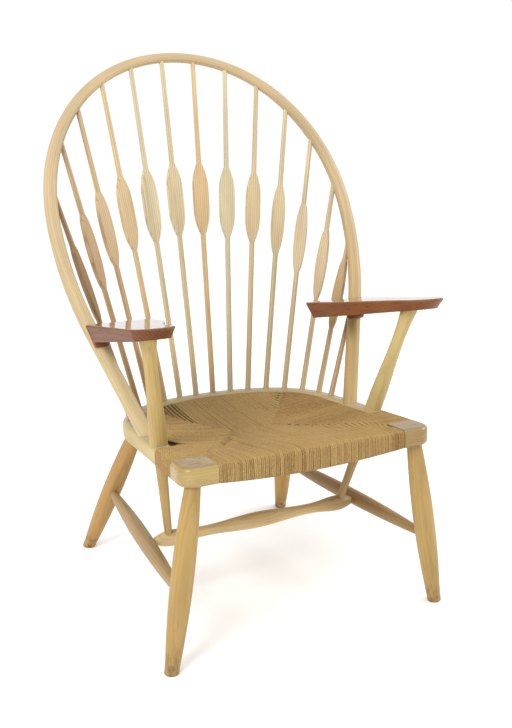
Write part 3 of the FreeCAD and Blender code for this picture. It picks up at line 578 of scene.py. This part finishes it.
def seam_v(u, corner):
    """The line from a corner to the bridge, at u."""
    share = max(0.0, (abs(u) - BRIDGE_HALF) / (corner[0] - BRIDGE_HALF))
    return BRIDGE_V + (corner[1] - BRIDGE_V) * share


def seam_u(v, corner):
    """The line from a corner to the bridge, at v."""
    return BRIDGE_HALF + (corner[0] - BRIDGE_HALF) * (v - BRIDGE_V) / (corner[1] - BRIDGE_V)


def dish(u, v):
    """How far the seat sinks below the rails' top plane."""
    return DISH_DEPTH * max(0.0, 1 - (u ** 2 + (v - DISH_MIDDLE) ** 2) / DISH_RADIUS ** 2)


def belly(u):
    """How far the front's underside hangs below the rail's depth."""
    return FRONT_BELLY * max(0.0, 1 - (u / BLOCK_INNER) ** 2)


def turn(centre, radius, start, end):
    """Points of an arc in a cord's upright plane, between two angles in quarter turns."""
    points = []
    for step in range(TURN_STEPS + 1):
        angle = (start + (end - start) * step / TURN_STEPS) * math.pi / 2
        points.append((centre[0] + radius * math.cos(angle), centre[1] + radius * math.sin(angle)))
    return points


def run(start, end, sag):
    """Points inside a stretch between two others, which sags in its middle."""
    points = []
    for step in range(1, RUN_STEPS):
        share = step / RUN_STEPS
        points.append((start[0] + (end[0] - start[0]) * share,
                       start[1] + (end[1] - start[1]) * share - sag * 4 * share * (1 - share)))
    return points


def cord_loop(length, depth, wrap_depth, lift):
    """One cord in its upright plane, as (distance from the seam, height): up out of the seam, along the
    top to the rail, round the rail or its nail, and back along the underside."""
    top = lift - depth - CORD_RADIUS
    under = CORD_RADIUS - depth - PANEL_THICKNESS
    points = turn((DIVE_RADIUS, top - DIVE_RADIUS), DIVE_RADIUS, 2, 1)
    if wrap_depth:
        low = CORD_RADIUS - wrap_depth
        high = lift - CORD_RADIUS
        bend = WRAP_TURN
        level = [(length - RAIL_WIDTH, high)]
        level_under = [(length - RAIL_WIDTH, low)]
    else:
        low = CORD_RADIUS - PANEL_THICKNESS
        high = lift - CORD_RADIUS - EDGE_DROP
        bend = EDGE_TURN
        level = []
        level_under = []
    reach = length - CORD_RADIUS - bend
    upper = turn((reach, high - bend), bend, 1, 0)
    lower = turn((reach, low + bend), bend, 0, -1)
    first = (level + upper)[0]
    last = (lower + level_under)[-1]
    end = turn((DIVE_RADIUS, under + DIVE_RADIUS), DIVE_RADIUS, -1, -2)
    return (points + run(points[-1], first, CORD_SAG) + level + upper + lower + level_under
            + run(last, end[0], CORD_SAG) + end)


class Weave:
    """Gathers cords as tubes in one mesh, with texture coordinates along each cord and a tone for each."""

    def __init__(self):
        self.points = []
        self.faces = []
        self.coordinates = []
        self.tones = []

    def add_cord(self, path, sideways, radius, tones):
        """A round cord along a path, whose upright plane has this sideways direction."""
        path = np.array(path)
        ahead = np.gradient(path, axis=0)
        ahead /= np.linalg.norm(ahead, axis=1)[:, None]
        outward = np.cross(np.array(sideways), ahead)
        outward /= np.linalg.norm(outward, axis=1)[:, None]
        across = np.cross(ahead, outward)
        travel = np.concatenate([[0.0], np.cumsum(np.linalg.norm(np.diff(path, axis=0), axis=1))])
        base = len(self.points)
        for place in range(len(path)):
            for side in range(CORD_SIDES):
                angle = 2 * math.pi * side / CORD_SIDES
                reach = outward[place] * math.cos(angle) + across[place] * math.sin(angle)
                self.points.append(path[place] + reach * radius)
                self.tones.append(tones[place])
        for place in range(len(path) - 1):
            for side in range(CORD_SIDES):
                after = (side + 1) % CORD_SIDES
                here = base + place * CORD_SIDES
                there = here + CORD_SIDES
                self.faces.append((here + side, here + after, there + after, there + side))
                low = side / CORD_SIDES
                high = (side + 1) / CORD_SIDES
                near = travel[place]
                far = travel[place + 1]
                self.coordinates += [(low, near), (high, near), (high, far), (low, far)]
        first_ring = [base + side for side in range(CORD_SIDES)]
        last_ring = [base + (len(path) - 1) * CORD_SIDES + side for side in range(CORD_SIDES)]
        self.faces.append(tuple(reversed(first_ring)))
        self.faces.append(tuple(last_ring))
        self.coordinates += [(0.0, 0.0)] * (2 * CORD_SIDES)

    def build(self, name, material):
        mesh = bpy.data.meshes.new(name)
        mesh.from_pydata([tuple(point) for point in self.points], [], self.faces)
        layer = mesh.uv_layers.new(name="UVMap")
        layer.data.foreach_set("uv", np.array(self.coordinates, np.float32).ravel())
        tones = mesh.attributes.new("cord_tone", "FLOAT", "POINT")
        tones.data.foreach_set("value", np.array(self.tones, np.float32))
        mesh.polygons.foreach_set("use_smooth", [True] * len(mesh.polygons))
        mesh.materials.append(material)
        made = bpy.data.objects.new(name, mesh)
        bpy.context.scene.collection.objects.link(made)
        return made


def lay_cord(weave, draw, seam, rail, wrap_depth, tone, wrap_shade_tone=0.0, curve=0.0, lean=0.0):
    """One cord between a point of a seam and a point of the rail, both in the seat's plan. Its curve is how
    far the rail's end stands aside of where a straight cord would be, and its lean how far it drifts
    sideways on its way down round the rail, where it has its wrap tone, a darker tone of painted shade."""
    seam = np.array(seam)
    rail = np.array(rail)
    length = np.linalg.norm(rail - seam)
    inner = length - (RAIL_WIDTH if wrap_depth else 0.0)
    if inner < SHORTEST_RUN:
        return
    way = (rail - seam) / length
    sideways = np.array((way[1], -way[0]))
    aside = np.array((0.0, 1.0)) * curve
    lift = draw.uniform(-LIFT_WANDER, LIFT_WANDER)
    depth = dish(*seam)
    change = draw.uniform(-TONE_WANDER, TONE_WANDER)
    path = []
    tones = []
    for distance, height in cord_loop(length, depth, wrap_depth, lift):
        share = max(0.0, distance / length)
        # Cords on a wrap take the wrap tone, painted shade on the rail's faces.
        on_wrap = distance > inner and height < -WRAP_TURN / 2
        tones.append(change + (wrap_shade_tone if on_wrap else tone))
        drift = lean * min(1.0, max(0.0, -height / RAIL_DEPTH)) * share ** LEAN_POWER
        bowed = aside * min(1.0, max(0.0, distance / inner)) ** CURVE_POWER
        u, v = seam + way * distance + bowed + sideways * drift
        path.append(seat_point(u, v, height))
    level = np.array(seat_point(*sideways, 0)) - np.array(seat_point(0, 0, 0))
    weave.add_cord(path, level, CORD_RADIUS * draw.uniform(*RADIUS_SHARES), tones)


def pair_places(draw, low, high, pitch=PAIR_PITCH):
    """Middles of the pairs that fill a stretch, each a little out of line."""
    count = round((high - low) / pitch)
    pitch = (high - low) / count
    return [low + pitch * (number + 0.5) + draw.uniform(-PAIR_WANDER, PAIR_WANDER)
            for number in range(count)]


def front_panel(weave, draw, corner):
    """The cords to the front. At the left some start short of the seam, which leaves thin slots."""
    reach = BLOCK_INNER - CORD_GAP - PAIR_WANDER
    for middle in pair_places(draw, -reach, reach):
        change = draw.uniform(-1, 1)
        lean = draw.uniform(-WRAP_LEAN, WRAP_LEAN) * (1 - abs(middle) / reach)
        for side in (-1, 1):
            at_seam = middle + side * PAIR_HALF * PAIR_PINCH
            slotted = side > 0 and FRONT_SLOTS[0] < middle < FRONT_SLOTS[1]
            seam = (at_seam, seam_v(middle, corner) - (FRONT_SLOT_DEPTH if slotted else 0.0))
            rail = (middle + side * PAIR_HALF, -FRONT_REACH)
            tone = FRONT_TONE + FRONT_TONE_WANDER * change
            right = max(0.0, middle / BLOCK_INNER)
            # The wrap tone is painted shade on the rail's front face, deeper towards the right.
            wrap_shade_tone = FRONT_WRAP_SHADE + FRONT_WRAP_RIGHT * right + FRONT_WRAP_WANDER * change
            lay_cord(weave, draw, seam, rail, RAIL_DEPTH + belly(middle), tone, wrap_shade_tone, lean=lean)


def rear_panel(weave, draw):
    """The cords to the rear, which fan out with gaps between them at the left end. Their darker tones are
    painted shade, deepest on the fanned cords.
    """
    inset = RAIL_WIDTH / 2 + CORD_GAP
    places = pair_places(draw, -REAR_CORNER[0], FAN_START, FAN_PITCH)
    places += pair_places(draw, FAN_START, REAR_CORNER[0])
    for middle in places:
        fanned = middle < FAN_START
        pinch = FAN_PINCH if fanned else PAIR_PINCH
        # Painted shade: a darker tone for the rear cords, darkest where they fan out.
        tone = (FAN_SHADED_TONE if fanned else REAR_SHADED_TONE) + draw.uniform(-REAR_TONE_WANDER, REAR_TONE_WANDER)
        for side in (-1, 1):
            at_seam = middle + side * PAIR_HALF * pinch
            at_rail = middle + side * PAIR_HALF * (FAN_SPREAD if fanned else 1.0)
            seam = (at_seam, seam_v(middle, REAR_CORNER))
            lay_cord(weave, draw, seam, (at_rail, rail_v(at_rail, inset)), 0.0, tone)


def side_panel(weave, draw, hand, corner):
    """The cords of one side: wrapped round the rail ahead of the post, and nailed behind it. On the right
    every other pair starts short of the front seam, which leaves a row of slots."""
    block_rear = -(FRONT_REACH - BLOCK_LENGTH) + CORD_GAP + PAIR_WANDER
    for low, high, rail_low, rail_high, wrapped in (
            (block_rear, -POST_SPLIT, block_rear, -WRAP_END, True),
            (-POST_SPLIT, REAR_CORNER[1], -NAIL_START[hand], REAR_CORNER[1], False)):
        for number, middle in enumerate(pair_places(draw, low, high)):
            share = (middle - low) / (high - low)
            at_rail = rail_low + (rail_high - rail_low) * share
            tone = SIDE_TONE + SIDE_HAND_TONE * hand + draw.uniform(-SIDE_TONE_WANDER, SIDE_TONE_WANDER)
            line = corner if middle < BRIDGE_V else REAR_CORNER
            start = seam_u(middle, line)
            slotted = hand > 0 and middle < BRIDGE_V and SLOT_REACH[0] < start < SLOT_REACH[1]
            if slotted and number % 2:
                start += SLOT_DEPTH
            for side in (-1, 1):
                near = middle + side * PAIR_HALF * PAIR_PINCH
                far = at_rail + side * PAIR_HALF * (rail_high - rail_low) / (high - low)
                if wrapped:
                    reach = side_u(far, RAIL_WIDTH / 2)
                else:
                    reach = rail_u(far, RAIL_WIDTH / 2 + CORD_GAP)
                wrap_depth = RAIL_DEPTH if wrapped else 0.0
                # Wrapped cords get a darker tone there, painted shade on the rail's outer face.
                lay_cord(weave, draw, (hand * start, near), (hand * reach, near), wrap_depth,
                         tone, tone + SIDE_WRAP_SHADE, far - near)


def woven_seat():
    weave = Weave()
    draw = random.Random(WEAVE_SEED)
    corner = (BLOCK_INNER, -(FRONT_REACH - BLOCK_LENGTH))
    front_panel(weave, draw, corner)
    rear_panel(weave, draw)
    for hand in (-1, 1):
        side_panel(weave, draw, hand, corner)
    return weave.build("woven_cord", cord_material())


def seat_packing():
    """The paper between the upper and lower cords, seen only through gaps at the seams."""
    steps = PACKING_STEPS
    middle = PANEL_THICKNESS / 2
    front = -FRONT_REACH + RAIL_WIDTH + PACKING_INSET
    rear = REAR_REACH - RAIL_WIDTH - PACKING_INSET
    points = []
    for layer in (PACKING_HALF_THICKNESS, -PACKING_HALF_THICKNESS):
        for row in range(steps + 1):
            v = front + (rear - front) * row / steps
            reach = min(rail_u(v, RAIL_WIDTH / 2) - PACKING_INSET, PACKING_HALF_WIDTH)
            for column in range(steps + 1):
                u = reach * (2 * column / steps - 1)
                points.append(seat_point(u, v, layer - middle - dish(u, v)))
    width = steps + 1
    under = width * width
    faces = []
    for row in range(steps):
        for column in range(steps):
            corner = row * width + column
            quad = (corner, corner + 1, corner + width + 1, corner + width)
            faces.append(quad)
            faces.append(tuple(under + place for place in reversed(quad)))
    rim = list(range(steps))
    rim += [row * width + steps for row in range(steps)]
    rim += [steps * width + column for column in range(steps, 0, -1)]
    rim += [row * width for row in range(steps, 0, -1)]
    for place, here in enumerate(rim):
        after = rim[(place + 1) % len(rim)]
        faces.append((after, here, under + here, under + after))
    mesh = bpy.data.meshes.new("seat_packing")
    mesh.from_pydata(points, [], faces)
    mesh.materials.append(packing_material())
    made = bpy.data.objects.new("seat_packing", mesh)
    bpy.context.scene.collection.objects.link(made)
    return made


# Finishes of the CAD pieces.
def piece_axes(node):
    """A piece's middle, and the directions in which it is longest, next longest and thinnest."""
    points = np.array([vertex.co for vertex in node.data.vertices])
    middle = points.mean(0)
    return middle, np.linalg.svd(points - middle, full_matrices=False)[2]


def piece_look(name):
    """The wood of a piece, with a tint of its own where the photograph shows one."""
    look = next(LOOKS[start] for start in LOOKS if name.startswith(start))
    return tinted(look, *TINTS.get(name, (1, 1, 1)))


def dress_wood():
    """Gives each CAD piece its wood, and the nails their steel."""
    for number, (name, node) in enumerate(sorted(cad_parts.items())):
        if name == "cord_seat":
            continue
        draw = random.Random(number)
        if name == "cord_nails":
            finish = steel_material()
        else:
            look = piece_look(name)
            pith = draw.uniform(*PITH_RANGE)
            travel = draw.uniform(*TRAVEL_RANGE)
            if name == "back_bow":
                grain = bow_grain
            elif name == "seat_back_rail":
                grain = rail_grain
            elif name.startswith("seat"):
                middle = (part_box(name)[0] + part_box(name)[1]) / 2
                grain = straight_grain(middle, BLOCK_ACROSS, BLOCK_ALONG, pith, travel)
            else:
                middle, axes = piece_axes(node)
                across = axes[1] + axes[2] if name.startswith("arm_") else axes[1]
                grain = straight_grain(middle, across, axes[0], pith, travel)
            finish = wood_material("wood_" + name, grain, look)
        node.data.materials.clear()
        node.data.materials.append(finish)


# Stage, light and camera.
def pale_floor():
    angles = [2 * math.pi * step / FLOOR_SIDES for step in range(FLOOR_SIDES)]
    points = [(FLOOR_RADIUS * math.cos(angle), FLOOR_RADIUS * math.sin(angle), 0) for angle in angles]
    mesh = bpy.data.meshes.new("floor")
    mesh.from_pydata(points, [], [tuple(range(FLOOR_SIDES))])
    material, tree, shader = new_material("floor_white")
    shader.inputs["Base Color"].default_value = FLOOR_WHITE
    shader.inputs["Roughness"].default_value = FLOOR_ROUGHNESS
    shader.inputs["Specular IOR Level"].default_value = FLOOR_GLOSS
    mesh.materials.append(material)
    made = bpy.data.objects.new("floor", mesh)
    bpy.context.scene.collection.objects.link(made)


def area_light(name, place, aim, power):
    lamp = bpy.data.lights.new(name, "AREA")
    lamp.shape = "DISK"
    lamp.size = LIGHT_SIZE
    lamp.energy = power
    made = bpy.data.objects.new(name, lamp)
    made.location = place
    made.rotation_euler = (Vector(aim) - Vector(place)).to_track_quat("-Z", "Y").to_euler()
    bpy.context.scene.collection.objects.link(made)


def studio_light():
    world = bpy.data.worlds.new("studio")
    world.use_nodes = True
    background = world.node_tree.nodes["Background"]
    background.inputs["Color"].default_value = SKY_WHITE
    background.inputs["Strength"].default_value = SKY_STRENGTH
    bpy.context.scene.world = world
    middle = (cad_low + cad_high) / 2
    area_light("key_light", KEY_PLACE, middle, KEY_POWER)
    area_light("fill_light", FILL_PLACE, middle, FILL_POWER)


def photo_camera():
    lens = bpy.data.cameras.new("camera")
    lens.lens = CAMERA_LENS
    lens.clip_end = CAMERA_REACH
    made = bpy.data.objects.new("camera", lens)
    made.location = CAMERA_PLACE
    made.rotation_euler = (math.pi / 2 - CAMERA_DROP, 0, -CAMERA_YAW)
    bpy.context.scene.collection.objects.link(made)
    bpy.context.scene.camera = made


bpy.context.scene.view_settings.view_transform = "Standard"
dress_wood()
cords = woven_seat()
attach(cords, "root")
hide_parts("cord_seat")
packing = seat_packing()
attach(packing, "root")
pale_floor()
studio_light()
photo_camera()
